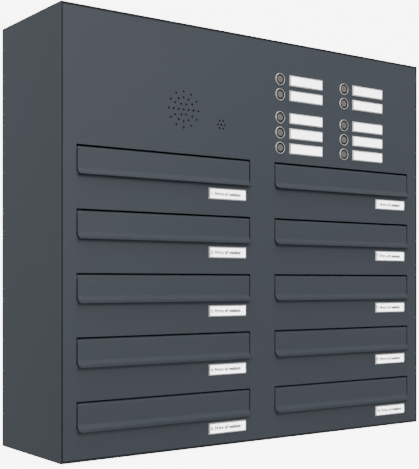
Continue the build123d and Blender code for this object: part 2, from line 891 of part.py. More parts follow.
def make_microphone():
    """Microphone capsule in a rubber cup."""
    with BuildPart() as cup:
        with BuildSketch(upright(panel_back + microphone_depth)):
            with Locations((microphone_x, microphone_z)):
                Circle(microphone_radius)
        extrude(amount=microphone_depth)
        with BuildSketch(upright(panel_back + microphone_depth)):
            with Locations((microphone_x, microphone_z)):
                Circle(capsule_radius + touch_gap)
        extrude(amount=microphone_depth, mode=Mode.SUBTRACT)
    with BuildPart() as capsule:
        with BuildSketch(upright(panel_back + microphone_depth)):
            with Locations((microphone_x, microphone_z)):
                Circle(capsule_radius)
        extrude(amount=microphone_depth - panel_sheet)
    save_group([cup.part, capsule.part], "microphone")


def module_screw_places():
    spread_x = module_width - 2 * module_screw_inset
    spread_y = module_depth - 2 * module_screw_inset
    return [(sx * spread_x / 2, sy * spread_y / 2) for sx in (-1, 1) for sy in (-1, 1)]


def make_intercom_module():
    """Electronics housing on the bay's floor, with a foot plate and a terminal block on top."""
    body_width = module_width - 4 * module_screw_inset
    with BuildPart() as module:
        with BuildSketch(level(0, 0, bay_shelf_top)):
            Rectangle(module_width, module_depth)
            with Locations(*module_screw_places()):
                Circle(cover_screw_radius + screw_hole_gap, mode=Mode.SUBTRACT)
        extrude(amount=module_foot)
        with BuildSketch(level(0, 0, bay_shelf_top + module_foot)):
            Rectangle(body_width, module_depth)
        extrude(amount=module_height - module_foot)
        fillet(module.edges().group_by(Axis.Z)[-1], radius=module_radius)
        with BuildSketch(level(0, 0, bay_shelf_top + module_height)):
            block = (body_width - 4 * module_radius, terminal_block_depth)
            with Locations((0, module_depth / 2 - terminal_block_depth)):
                Rectangle(*block)
        extrude(amount=terminal_block_height)
    save(module.part, "intercom_module")


# ---------------------------------------------------------------- fasteners
def make_panel_screws():
    """Screw from behind the frame, and the rivet nut in the panel's lip that it turns into."""
    with BuildPart() as screw:
        with BuildSketch(upright(frame_back + screw_head_height)):
            Circle(screw_head_radius)
        extrude(amount=screw_head_height)
        fillet(screw.edges().sort_by(Axis.Y)[-1], radius=screw_head_height / 2)
        with BuildSketch(upright(frame_back)):
            Circle(panel_screw_radius)
        extrude(amount=sheet + panel_sheet + rivet_nut_length)
    with BuildPart() as nut:
        with BuildSketch(upright(frame_front - panel_sheet)):
            Circle(rivet_nut_radius)
            Circle(panel_screw_radius + thread_gap, mode=Mode.SUBTRACT)
        extrude(amount=rivet_nut_length)
    return screw.part, nut.part


def make_bell_nut():
    with BuildPart() as nut:
        with BuildSketch(upright(panel_back + bell_nut_height)):
            RegularPolygon(radius=bell_nut_size / 2, side_count=6, major_radius=False)
            Circle(bell_hole_radius - sleeve_gap + thread_gap, mode=Mode.SUBTRACT)
        extrude(amount=bell_nut_height)
    return nut.part


def make_cover_screw():
    with BuildPart() as screw:
        with BuildSketch(upright(back + cover_screw_head_height)):
            Circle(cover_screw_head_radius)
        extrude(amount=cover_screw_head_height)
        fillet(screw.edges().sort_by(Axis.Y)[-1], radius=cover_screw_head_height / 2)
        with BuildSketch(upright(back)):
            Circle(cover_screw_radius)
        extrude(amount=cover_screw_length)
    return screw.part


def make_module_screw():
    seat = bay_shelf_top + module_foot
    with BuildPart() as screw:
        with BuildSketch(level(0, 0, seat)):
            Circle(cover_screw_head_radius)
        extrude(amount=cover_screw_head_height)
        with BuildSketch(level(0, 0, bay_shelf_top)):
            Circle(cover_screw_radius)
        extrude(amount=module_foot)
    return screw.part


def make_fasteners():
    panel_screw, rivet_nut = make_panel_screws()
    panel_places = [Location((x, 0, z)) for x, z in panel_screw_places()]
    cover_places = [Location((x, 0, z)) for x, z in cover_screw_places()]
    module_places = [Location((x, y, 0)) for x, y in module_screw_places()]
    pieces = [panel_screw.moved(place) for place in panel_places]
    pieces += [rivet_nut.moved(place) for place in panel_places]
    bell_nut = make_bell_nut()
    pieces += [bell_nut.moved(Location(place)) for place in bell_places()]
    cover_screw = make_cover_screw()
    pieces += [cover_screw.moved(place) for place in cover_places]
    module_screw = make_module_screw()
    pieces += [module_screw.moved(place) for place in module_places]
    save_group(pieces, "screws_and_nuts")


def main():
    os.makedirs("parts", exist_ok=True)
    make_casing()
    make_front_panel()
    make_front_seal()
    make_centre_divider()
    make_shelves()
    make_service_cover()
    make_cable_grommet()
    make_hinge_rods()
    make_hinge_brackets()
    make_bumpers()
    make_bell_bezels()
    make_bell_contacts()
    make_bell_springs()
    make_nameplates()
    make_speaker()
    make_microphone()
    make_intercom_module()
    make_fasteners()
    for side in sides:
        for row in range(row_count):
            make_flap(side, row)
            make_door(side, row)
            make_lock_cam(side, row)
            make_bell_button(side, row)


main()
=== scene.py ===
"""Looks of a ten-box letterbox bank with bells and a speech unit: anthracite sheet metal, metres, Z up."""
from math import cos, hypot, pi, radians, sin
import json

import bmesh
import bpy
from mathutils import Matrix, Vector


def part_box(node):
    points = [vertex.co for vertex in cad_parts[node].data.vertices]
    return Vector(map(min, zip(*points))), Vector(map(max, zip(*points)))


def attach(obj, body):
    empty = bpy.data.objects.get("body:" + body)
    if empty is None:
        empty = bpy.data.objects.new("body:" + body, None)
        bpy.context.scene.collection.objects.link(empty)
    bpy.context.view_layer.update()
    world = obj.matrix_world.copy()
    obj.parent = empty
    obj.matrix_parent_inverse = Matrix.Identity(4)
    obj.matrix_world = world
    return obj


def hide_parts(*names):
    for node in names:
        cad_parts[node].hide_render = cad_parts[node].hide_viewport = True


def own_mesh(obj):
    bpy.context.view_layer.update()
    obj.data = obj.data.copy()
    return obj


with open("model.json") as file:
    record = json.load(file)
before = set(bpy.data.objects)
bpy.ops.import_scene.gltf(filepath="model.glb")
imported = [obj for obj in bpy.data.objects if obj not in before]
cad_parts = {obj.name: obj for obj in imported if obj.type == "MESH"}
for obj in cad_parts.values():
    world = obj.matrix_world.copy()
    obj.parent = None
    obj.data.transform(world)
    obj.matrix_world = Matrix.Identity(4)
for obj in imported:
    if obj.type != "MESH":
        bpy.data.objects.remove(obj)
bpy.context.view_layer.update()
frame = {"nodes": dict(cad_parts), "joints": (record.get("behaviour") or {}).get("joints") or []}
front_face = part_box("front_panel")[0][1]
casing_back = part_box("casing")[1][1]
joint_of = {joint["child"]: joint for joint in frame["joints"]}

MM = 0.001
SIDES = {"left": -1, "right": 1}
ROWS = range(1, 6)
UNITS = [(side, row) for side in SIDES for row in ROWS]

# Sizes of the made pieces that their CAD boxes don't give.
SHEET = 1.5 * MM
FOLD = 1.2 * MM
BASE_BOLT = (360 * MM, 75 * MM)
BASE_BOLT_RADIUS = 4.5 * MM
PANEL_SHEET = 2 * MM
PANEL_RETURN = 18 * MM
PANEL_LIP = 12 * MM
FRAME_FLANGE = 15 * MM
FLAP_FLAT = 35 * MM
LIP_RADIUS = 12 * MM
LIP_TURN = radians(75)
LIP_STRAIGHT = 3 * MM
CURL_TURN = radians(280)
SLOT_TOP_GAP = 3 * MM
SLOT_SIDE_GAP = 2 * MM
SILL_DROP = 43.1 * MM
SILL_DEPTH = 12 * MM
GROMMET_HOLE = 12.1 * MM
GROMMET_NECK = 12 * MM
GROMMET_BORE = 8 * MM
SOUND_HOLE = 1.9 * MM
SPEAKER_RINGS = ((11 * MM, 6), (22 * MM, 12), (33 * MM, 12))
MICROPHONE_RINGS = ((8 * MM, 6),)
BELL_HOLE = 10.3 * MM
BEZEL_RADIUS = 11.75 * MM
BEZEL_SLEEVE = 10.2 * MM
BEZEL_BORE = 9.2 * MM
INSERT_RADIUS = 9.15 * MM
FLANGE_RADIUS = 10.45 * MM
FLANGE_DEPTH = 1.5 * MM
CAP_GUIDE = 7.08 * MM
CAP_RADIUS = 7 * MM
CAP_FLOOR = 13 * MM
INSERT_BACK = 16 * MM
TAG_SHIFT = 3 * MM
TAG_HALF = (0.4 * MM, 1.4 * MM)
TAG_LENGTH = 6 * MM
SPRING_RADIUS = 5 * MM
SPRING_WIRE = 0.4 * MM
SPRING_START = 4.7 * MM
SPRING_LENGTH = 7.8 * MM
SPRING_TURNS = 5
SPRING_STEPS = 20
PLATE_HALF = (44 * MM, 10.75 * MM)
PLATE_DEPTH = 3 * MM
PLATE_BORDER = 2.5 * MM
PLATE_REBATE = 1.2 * MM
PLATE_BEVEL = 1.8 * MM
PLATE_POCKET = 1.6 * MM
CARD_HALF = (42.6 * MM, 9.35 * MM)
CARD_SHEET = 0.4 * MM
BELL_PLATE_SHIFT = 68 * MM
FLAP_PLATE_INSET = 53 * MM
FLAP_PLATE_DROP = 66.75 * MM
NAME_SIZE = 8.6 * MM
NAME_INDENT = 4 * MM
NAME_WEIGHT = 0.6 * MM
DOOR_RETURN = 10 * MM
LOCK_HOLE = 9.05 * MM
BARREL_RADIUS = 9 * MM
BARREL_RIM = 11 * MM
BARREL_NUT = (12.7 * MM, 3 * MM)
BARREL_NUT_BORE = 9.02 * MM
LOCK_BORE = 6.08 * MM
PLUG_RADIUS = 6 * MM
CAM_NUT = 3 * MM
CAM_SHEET = 2 * MM
CAM_HALF = 7 * MM
# Screws give their head's radius and height, then their shank's radius and length.
PANEL_SCREW = (4.75 * MM, 2.75 * MM, 2.5 * MM, 9.5 * MM)
COVER_SCREW = (4 * MM, 2.2 * MM, 2 * MM, 8 * MM)
HOUSING_SCREW = (4 * MM, 2.2 * MM, 2 * MM, 3 * MM)
RIVET_NUT_LENGTH = 6 * MM
RIVET_NUT_RADII = (4 * MM, 2.55 * MM)
BELL_NUT_LENGTH = 3 * MM
BELL_NUT_RADII = (15 * MM, 10.25 * MM)
PANEL_SCREW_RISES = (60 * MM, 280.7 * MM, 501.3 * MM, 722 * MM)
PANEL_SCREW_INSET = 11 * MM
PANEL_SCREW_SPREAD = 220 * MM
COVER_SCREW_SPREAD = 280 * MM
COVER_SCREW_SIDE = 428 * MM
COVER_SCREW_BELOW = 6.5 * MM
COVER_SCREW_ABOVE = 7.5 * MM
MODULE_SCREW_PLACE = (82 * MM, 42 * MM)
MODULE_FOOT = 3 * MM
EDGE = 0.3 * MM
HAIR = 0.02 * MM
FLAT = 0.99
ORIGIN = (0, 0)

# Studio light: what the camera sees behind the object, and what falls on it from all round.
BACKDROP = 9.5
FLOOR_GLOW = 7.0
SKY_BELOW = 0.25
SKY_ABOVE = 0.85
LIGHT_AIM = Vector((0, 0, 0.4))
# Area lights: place, power and size.
LIGHTS = {
    "key": ((-0.5, -3.7, 1.45), 90, 2.0),
    "side": ((-3.4, 0.6, 1.1), 28, 2.0),
    "rear": ((1.2, 2.4, 3.1), 100, 2.0),
    "top": ((-0.2, -0.6, 3.0), 24, 1.5),
}
CAMERA_PLACE = (-1.208, -1.609, 0.307)
CAMERA_TURN = (radians(90), 0, radians(-35.93))
CAMERA_LENS = 75.7
CAMERA_RISE = 0.102


# ------------------------------------------------------------------ modelling helpers
def clear_selection():
    bpy.ops.object.select_all(action="DESELECT")


def take(piece):
    """Makes a piece the only selected one."""
    clear_selection()
    piece.select_set(True)
    bpy.context.view_layer.objects.active = piece
    return piece


def block(name, low, high):
    """A box between two corners, ready to be shaped."""
    clear_selection()
    centre = [(a + b) / 2 for a, b in zip(low, high)]
    bpy.ops.mesh.primitive_cube_add(size=1, location=centre)
    piece = bpy.context.active_object
    piece.name = name
    piece.scale = [b - a for a, b in zip(low, high)]
    bpy.ops.object.transform_apply(location=True, rotation=True, scale=True)
    return piece


def rod(name, centre, radius, low, high, sides=32):
    """A round or many-sided bar along Y from low to high."""
    clear_selection()
    place = (centre[0], (low + high) / 2, centre[1])
    turn = (pi / 2, 0, 0)
    bpy.ops.mesh.primitive_cylinder_add(
        vertices=sides, radius=radius, depth=high - low, location=place, rotation=turn)
    piece = bpy.context.active_object
    piece.name = name
    bpy.ops.object.transform_apply(location=True, rotation=True, scale=True)
    return piece


def pick(piece, test):
    """In edit mode, selects the faces that pass a test."""
    bpy.ops.mesh.select_mode(type="FACE")
    bpy.ops.mesh.select_all(action="DESELECT")
    shape = bmesh.from_edit_mesh(piece.data)
    for face in shape.faces:
        face.select_set(test(face))
    shape.select_flush_mode()
    bmesh.update_edit_mesh(piece.data)


def facing(axis, sign, place=None, slack=HAIR):
    """A test for flat faces that look along an axis, and lie at a place on it if one is given."""
    def test(face):
        if face.normal[axis] * sign < FLAT:
            return False
        return place is None or abs(face.calc_center_median()[axis] - place) < slack
    return test


def faces_front_or_back(face):
    return abs(face.normal.y) > FLAT


def editing(piece):
    take(piece)
    bpy.ops.object.mode_set(mode="EDIT")


def done():
    bpy.ops.object.mode_set(mode="OBJECT")


def inset(width):
    bpy.ops.mesh.inset(thickness=width, depth=0, use_even_offset=True)


def push(x=0, y=0, z=0):
    """Extrudes the selected faces by a step."""
    bpy.ops.mesh.extrude_region_move(TRANSFORM_OT_translate={"value": (x, y, z)})


def outward():
    bpy.ops.mesh.select_all(action="SELECT")
    bpy.ops.mesh.normals_make_consistent(inside=False)


def join(pieces, name):
    clear_selection()
    for piece in pieces:
        piece.select_set(True)
    bpy.context.view_layer.objects.active = pieces[0]
    bpy.ops.object.join()
    pieces[0].name = name
    return pieces[0]


def cut(piece, cutters):
    """Takes the cutters' shapes out of a piece, and uses the cutters up."""
    cutter = join(cutters, "cutter")
    take(piece)
    tool = piece.modifiers.new("cut", "BOOLEAN")
    tool.operation = "DIFFERENCE"
    tool.solver = "EXACT"
    tool.use_self = True
    tool.object = cutter
    bpy.ops.object.modifier_apply(modifier=tool.name)
    discard(cutter)
    return piece


def soften(piece, width=EDGE, segments=2, angle=40):
    """Rounds the sharp edges and smooths the shading over them."""
    take(piece)
    edge = piece.modifiers.new("edge", "BEVEL")
    edge.width = width
    edge.segments = segments
    edge.limit_method = "ANGLE"
    edge.angle_limit = radians(angle)
    edge.use_clamp_overlap = True
    bpy.ops.object.modifier_apply(modifier=edge.name)
    bpy.ops.object.shade_smooth_by_angle(angle=radians(50))
    even = piece.modifiers.new("even", "WEIGHTED_NORMAL")
    even.keep_sharp = True
    bpy.ops.object.modifier_apply(modifier=even.name)
    return piece


def ring(name, low, high, border):
    """A flat rectangular frame in the upright plane."""
    piece = block(name, low, high)
    editing(piece)
    pick(piece, faces_front_or_back)
    inset(border)
    bpy.ops.mesh.bridge_edge_loops()
    outward()
    done()
    return piece


def turned(name, centre, profile, sides=48, closed=False):
    """A turned piece about an axis along Y: the profile is a list of (radius, y)."""
    clear_selection()
    radius, y = profile[0]
    bpy.ops.mesh.primitive_circle_add(
        vertices=sides, radius=radius, location=(centre[0], y, centre[1]), rotation=(pi / 2, 0, 0))
    piece = bpy.context.active_object
    piece.name = name
    bpy.ops.object.transform_apply(location=True, rotation=True, scale=True)
    bpy.ops.object.mode_set(mode="EDIT")
    bpy.ops.mesh.select_all(action="SELECT")
    if not closed:
        bpy.ops.mesh.edge_face_add()
        bpy.ops.mesh.select_mode(type="EDGE")
    for next_radius, next_y in profile[1:]:
        bpy.ops.mesh.extrude_edges_move(TRANSFORM_OT_translate={"value": (0, next_y - y, 0)})
        ratio = next_radius / radius
        bpy.ops.transform.resize(
            value=(ratio, 1, ratio), center_override=(centre[0], next_y, centre[1]))
        radius, y = next_radius, next_y
    if closed:
        bpy.ops.mesh.select_all(action="SELECT")
        bpy.ops.mesh.remove_doubles(threshold=0.005 * MM)
    else:
        bpy.ops.mesh.edge_face_add()
    outward()
    done()
    return piece


def copy_to(piece, name, shift):
    """A copy with its own mesh, moved by a step."""
    twin = piece.copy()
    twin.data = piece.data.copy()
    twin.data.transform(Matrix.Translation(shift))
    twin.name = name
    bpy.context.scene.collection.objects.link(twin)
    return twin


def repeat(piece, shifts, name):
    """One piece made of a copy of a model at each shift; the model itself goes."""
    copies = [copy_to(piece, f"{name}_copy", shift) for shift in shifts]
    discard(piece)
    return join(copies, name)


def discard(*models):
    for model in models:
        bpy.data.objects.remove(model)


def middle(node):
    low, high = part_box(node)
    return (Vector(low) + Vector(high)) / 2


def finish_piece(piece, material, body, slot, *nodes):
    """Gives a piece its material and says which body it rides on and which CAD nodes it stands for."""
    piece.data.materials.clear()
    piece.data.materials.append(material)
    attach(piece, body)
    if nodes:
        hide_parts(*nodes)
    return piece


# ------------------------------------------------------------------ material helpers
class Value:
    """One shader value; Python's operators on it add Math nodes."""

    def __init__(self, finish, socket):
        self.finish = finish
        self.socket = socket

    def __add__(self, other):
        return self.finish.maths("ADD", self, other)

    def __mul__(self, other):
        return self.finish.maths("MULTIPLY", self, other)

    __radd__ = __add__


def set_stops(ramp, stops):
    while len(ramp.elements) < len(stops):
        ramp.elements.new(1)
    for element, (position, level) in zip(ramp.elements, stops):
        element.position = position
        element.color = (level, level, level, 1)


class Finish:
    """A material being made: the principled shader and the method that adds any other node."""

    def __init__(self, name):
        self.material = bpy.data.materials.new(name)
        self.material.use_nodes = True
        self.tree = self.material.node_tree
        self.shader = self.tree.nodes["Principled BSDF"]
        self.place = self.node("ShaderNodeTexCoord", {}, {}, "Object")

    def node(self, kind, settings, inputs, output):
        made = self.tree.nodes.new(kind)
        for name, value in settings.items():
            if name == "stops":
                set_stops(made.color_ramp, value)
            else:
                setattr(made, name, value)
        for name, value in inputs.items():
            self.feed(made.inputs[name], value)
        return Value(self, made.outputs[output])

    def feed(self, socket, value):
        if isinstance(value, Value):
            self.tree.links.new(value.socket, socket)
        else:
            socket.default_value = value

    def maths(self, operation, first, second):
        return self.node("ShaderNodeMath", {"operation": operation}, {0: first, 1: second}, "Value")

    def stretched(self, scale):
        return self.node("ShaderNodeMapping", {}, {"Vector": self.place, "Scale": scale}, "Vector")

    def noise(self, scale, detail=3, roughness=0.55, place=None):
        inputs = {"Vector": place or self.place, "Scale": scale, "Detail": detail,
                  "Roughness": roughness}
        return self.node("ShaderNodeTexNoise", {}, inputs, "Fac")

    def cells(self, scale):
        return self.node("ShaderNodeTexVoronoi", {}, {"Vector": self.place, "Scale": scale}, "Color")

    def ramp(self, value, low, high):
        """Level that goes from 0 to 1 as a value goes from low to high."""
        stops = [(low, 0), (high, 1)]
        return self.node("ShaderNodeValToRGB", {"stops": stops}, {"Fac": value}, "Color")

    def mix(self, amount, first, second):
        """Colour that goes from first to second as the amount goes from 0 to 1."""
        inputs = {0: amount, 6: first, 7: second}
        return self.node("ShaderNodeMix", {"data_type": "RGBA"}, inputs, 2)

    def bump(self, height, strength, distance):
        inputs = {"Height": height, "Strength": strength, "Distance": distance}
        return self.node("ShaderNodeBump", {}, inputs, "Normal")

    def coat(self, colour, roughness, metallic=0, **others):
        """Feeds the shader; any named socket may be given too, with its spaces as underscores."""
        self.feed(self.shader.inputs["Base Color"], colour)
        self.feed(self.shader.inputs["Roughness"], roughness)
        self.feed(self.shader.inputs["Metallic"], metallic)
        for name, value in others.items():
            self.feed(self.shader.inputs[name.replace("_", " ")], value)
        return self.material


def shade(colour, factor):
    return (*[channel * factor for channel in colour], 1)


# ------------------------------------------------------------------ finishes
CASING_GREY = (0.046, 0.058, 0.071)
FRONT_GREY = (0.050, 0.059, 0.072)


def powder_coat(name, grey, brushed):
    """Satin anthracite powder coat; the front has a faint horizontal grain under it."""
    finish = Finish(name)
    clouds = finish.noise(3.0, 2)
    speckle = finish.noise(1400, 2)
    tone = clouds * 0.55 + speckle * 0.45
    height = speckle
    if brushed:
        grain = finish.noise(1.0, 4, 0.6, finish.stretched((14, 600, 900)))
        tone = tone * 0.6 + grain * 0.4
        height = speckle * 0.7 + grain * 0.5
    colour = finish.mix(finish.ramp(tone, 0.3, 0.7), shade(grey, 0.93), shade(grey, 1.08))
    roughness = 0.40 + tone * 0.16
    return finish.coat(colour, roughness, Normal=finish.bump(height, 0.10, 0.05 * MM),
                       Specular_IOR_Level=0.3)


def rubber():
    finish = Finish("rubber_black")
    grit = finish.noise(900, 3)
    colour = finish.mix(grit, (0.006, 0.007, 0.008, 1), (0.016, 0.017, 0.018, 1))
    return finish.coat(colour, 0.62 + grit * 0.2, Normal=finish.bump(grit, 0.2, 0.05 * MM))


def black_plastic():
    finish = Finish("moulded_black")
    grain = finish.noise(1800, 2)
    colour = finish.mix(grain, (0.005, 0.005, 0.006, 1), (0.012, 0.012, 0.013, 1))
    return finish.coat(colour, 0.42 + grain * 0.2, Normal=finish.bump(grain, 0.15, 0.03 * MM),
                       Specular_IOR_Level=0.3)


def galvanised():
    """Zinc-coated sheet with its crystal spangle."""
    finish = Finish("galvanised_sheet")
    spangle = finish.cells(90)
    streak = finish.noise(1.0, 3, 0.6, finish.stretched((30, 260, 260)))
    level = spangle * 0.5 + streak * 0.5
    colour = finish.mix(level, (0.22, 0.23, 0.24, 1), (0.42, 0.43, 0.44, 1))
    return finish.coat(colour, 0.34 + level * 0.22, 0.85, Normal=finish.bump(streak, 0.08, 0.03 * MM))


def zinc_plate():
    finish = Finish("passivated_zinc")
    grain = finish.noise(700, 3)
    colour = finish.mix(grain, (0.26, 0.26, 0.25, 1), (0.40, 0.40, 0.38, 1))
    return finish.coat(colour, 0.42 + grain * 0.16, 0.9, Normal=finish.bump(grain, 0.05, 0.02 * MM))


def stainless():
    """Satin stainless steel, brushed across."""
    finish = Finish("satin_stainless")
    brush = finish.noise(1.0, 3, 0.6, finish.stretched((120, 900, 2600)))
    colour = finish.mix(brush, (0.78, 0.78, 0.77, 1), (0.94, 0.94, 0.93, 1))
    return finish.coat(colour, 0.24 + brush * 0.14, 0.45, Normal=finish.bump(brush, 0.08, 0.02 * MM))


def nickel():
    finish = Finish("polished_nickel")
    smear = finish.noise(160, 3)
    colour = finish.mix(smear, (0.58, 0.57, 0.55, 1), (0.74, 0.73, 0.71, 1))
    return finish.coat(colour, 0.12 + smear * 0.14, 1)


def button_metal():
    """Warm-grey cap, finely blasted."""
    finish = Finish("warm_grey_cap")
    grain = finish.noise(2200, 2)
    colour = finish.mix(grain, (0.165, 0.150, 0.140, 1), (0.24, 0.222, 0.208, 1))
    return finish.coat(colour, 0.36 + grain * 0.16, 0.5, Normal=finish.bump(grain, 0.12, 0.02 * MM))


def frame_silver():
    finish = Finish("silver_frame")
    grain = finish.noise(1500, 2)
    colour = finish.mix(grain, (0.62, 0.63, 0.64, 1), (0.72, 0.73, 0.74, 1))
    return finish.coat(colour, 0.34 + grain * 0.14, 0.12, Normal=finish.bump(grain, 0.06, 0.02 * MM))


def paper():
    finish = Finish("white_card")
    fibre = finish.noise(1.0, 4, 0.6, finish.stretched((500, 500, 1500)))
    colour = finish.mix(fibre, (0.86, 0.86, 0.85, 1), (0.94, 0.94, 0.93, 1))
    # The card also glows by itself: painted light that makes it read whiter than the lamps alone make it.
    return finish.coat(colour, 0.75 + fibre * 0.1, Normal=finish.bump(fibre, 0.05, 0.02 * MM),
                       Emission_Color=(1, 1, 1, 1), Emission_Strength=4.2)


def ink():
    finish = Finish("printing_ink")
    density = finish.noise(3000, 2)
    colour = finish.mix(density, (0.004, 0.006, 0.014, 1), (0.012, 0.015, 0.030, 1))
    return finish.coat(colour, 0.5 + density * 0.1)


def clear_acrylic():
    finish = Finish("clear_acrylic")
    haze = finish.noise(220, 2)
    colour = finish.mix(haze, (0.97, 0.98, 0.99, 1), (1, 1, 1, 1))
    return finish.coat(colour, 0.05 + haze * 0.06, Alpha=0.12)


def grey_housing():
    finish = Finish("grey_housing")
    grain = finish.noise(900, 2)
    colour = finish.mix(grain, (0.40, 0.41, 0.42, 1), (0.50, 0.51, 0.52, 1))
    return finish.coat(colour, 0.45 + grain * 0.15, Normal=finish.bump(grain, 0.15, 0.04 * MM))


def studio_floor():
    """White light table: it glows by itself, so the object throws only a faint shadow on it."""
    finish = Finish("studio_floor")
    mottle = finish.noise(6, 2)
    colour = finish.mix(mottle, (0.90, 0.90, 0.90, 1), (0.94, 0.94, 0.94, 1))
    return finish.coat(colour, 0.7 + mottle * 0.1,
                       Emission_Color=(1, 1, 1, 1), Emission_Strength=FLOOR_GLOW)


# ------------------------------------------------------------------ cabinet
def make_shell(material):
    """Casing: a wrapped sheet, the frame that carries the front panel and the rim behind the cover."""
    low, high = [Vector(corner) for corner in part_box("casing")]
    wrap = block("cabinet_shell", low, high)
    editing(wrap)
    pick(wrap, faces_front_or_back)
    bpy.ops.mesh.delete(type="FACE")
    outward()
    done()
    folds = wrap.modifiers.new("folds", "BEVEL")
    folds.width = FOLD
    folds.segments = 4
    bpy.ops.object.modifier_apply(modifier=folds.name)
    wall = wrap.modifiers.new("wall", "SOLIDIFY")
    wall.thickness = SHEET
    wall.offset = -1
    bpy.ops.object.modifier_apply(modifier=wall.name)
    holes = []
    for x in (-BASE_BOLT[0], BASE_BOLT[0]):
        for y in (-BASE_BOLT[1], BASE_BOLT[1]):
            bpy.ops.mesh.primitive_cylinder_add(
                vertices=32, radius=BASE_BOLT_RADIUS, depth=10 * MM, location=(x, y, 0))
            holes.append(bpy.context.active_object)
    cut(wrap, holes)
    inner_low = low + Vector((SHEET, 0, SHEET))
    inner_high = high - Vector((SHEET, 0, SHEET))
    frame_y = low.y + PANEL_RETURN
    front_frame = ring("front_frame", (inner_low.x, frame_y, inner_low.z),
                       (inner_high.x, frame_y + SHEET, inner_high.z), FRAME_FLANGE)
    rim = make_rim(inner_low, inner_high, high.y)
    shell = join([wrap, front_frame, rim], "cabinet_shell")
    soften(shell, 0.2 * MM)
    finish_piece(shell, material, "cabinet", "powder_coat_casing", "casing")


def make_rim(inner_low, inner_high, back):
    """Flat strip across the top and down both sides that the rear cover lies on."""
    cover_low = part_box("service_cover")[0]
    side_x = inner_high.x - FRAME_FLANGE
    under = inner_high.z - FRAME_FLANGE
    rim = block("rim", (inner_low.x, back - 2 * SHEET, under),
                (inner_high.x, back - SHEET, inner_high.z))
    editing(rim)
    for sign in (-1, 1):
        bpy.ops.mesh.select_all(action="SELECT")
        bpy.ops.mesh.bisect(plane_co=(sign * side_x, 0, 0), plane_no=(1, 0, 0))
    pick(rim, lambda face: face.normal.z < -FLAT and abs(face.calc_center_median().x) > side_x)
    push(z=cover_low[2] + 2 * MM - under)
    done()
    return rim


def slot_places():
    """Left edge, right edge and bottom and top of each letter slot, from the flaps' boxes."""
    places = []
    for side, row in UNITS:
        low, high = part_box(f"flap_{side}_{row}")
        places.append((low[0] - SLOT_SIDE_GAP, high[0] + SLOT_SIDE_GAP,
                       high[2] - SILL_DROP, high[2] + SLOT_TOP_GAP))
    return places


def sound_holes(node, rings):
    """Centres of a hole in the middle of a node and of the rings of holes around it."""
    centre = middle(node)
    places = [(centre.x, centre.z)]
    for radius, count in rings:
        for step in range(count):
            angle = 2 * pi * step / count
            places.append((centre.x + radius * cos(angle), centre.z + radius * sin(angle)))
    return places


def all_sound_holes():
    return sound_holes("speaker", SPEAKER_RINGS) + sound_holes("microphone", MICROPHONE_RINGS)


def make_front_panel(material):
    """Front tray: slots with folded sills, bell holes and sound holes, with returns and an inner lip."""
    low, high = [Vector(corner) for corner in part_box("front_panel")]
    panel = block("front_panel_sheet", low, high)
    editing(panel)
    pick(panel, facing(1, 1))
    inset(PANEL_LIP)
    push(y=-PANEL_SHEET)
    size = high - low
    wide = (size.x - 2 * PANEL_SHEET) / (size.x - 2 * PANEL_LIP)
    tall = (size.z - 2 * PANEL_SHEET) / (size.z - 2 * PANEL_LIP)
    push()
    centre = ((low + high) / 2).to_tuple()
    bpy.ops.transform.resize(value=(wide, 1, tall), center_override=centre)
    push(y=-(PANEL_RETURN - 2 * PANEL_SHEET))
    done()
    before, behind = low.y - MM, low.y + 5 * MM
    cutters = []
    for left, right, bottom, top in slot_places():
        cutters.append(block("slot", (left, before, bottom), (right, behind, top)))
    for place in all_sound_holes():
        cutters.append(rod("hole", place, SOUND_HOLE, before, behind, 20))
    for side, row in UNITS:
        place = middle(f"bell_button_{side}_{row}")
        cutters.append(rod("hole", (place.x, place.z), BELL_HOLE, before, behind, 40))
    cut(panel, cutters)
    sills = []
    for left, right, bottom, top in slot_places():
        sills.append(block("sill", (left, low.y + PANEL_SHEET, bottom - SHEET),
                           (right, low.y + SILL_DEPTH, bottom)))
    panel = join([panel, *sills], "front_panel_sheet")
    soften(panel, 0.25 * MM)
    finish_piece(panel, material, "cabinet", "powder_coat_front", "front_panel")


def make_shade_sleeves(material):
    """Black sleeves that line the sound holes from behind: painted shade that darkens the walls of the
    holes.
    """
    outer, bore = SOUND_HOLE - HAIR, SOUND_HOLE - 0.2 * MM
    start, end = front_face + 0.2 * MM, front_face + PANEL_SHEET
    profile = [(outer, start), (outer, end), (bore, end), (bore, start), (outer, start)]
    sleeve = turned("sleeve_model", ORIGIN, profile, 20, closed=True)
    sleeves = repeat(sleeve, [(x, 0, z) for x, z in all_sound_holes()], "sound_hole_sleeves")
    finish_piece(sleeves, material, "cabinet", "black_plastic")


def make_seal(material):
    """Rubber bead in the seam between the casing and the front panel."""
    low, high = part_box("front_seal")
    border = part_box("front_panel")[0][0] - low[0]
    bead = ring("front_seal_bead", low, high, border)
    soften(bead, 0.9 * MM, 3)
    finish_piece(bead, material, "cabinet", "seal_rubber", "front_seal")


def make_cover(material):
    """Rear cover of the top bay, with the hole for its grommet."""
    low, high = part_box("service_cover")
    place = middle("cable_grommet")
    cover = block("rear_cover_sheet", low, high)
    cut(cover, [rod("hole", (place.x, place.z), GROMMET_HOLE, low[1] - MM, high[1] + MM, 48)])
    soften(cover, 0.4 * MM)
    finish_piece(cover, material, "cabinet", "powder_coat_casing", "service_cover")


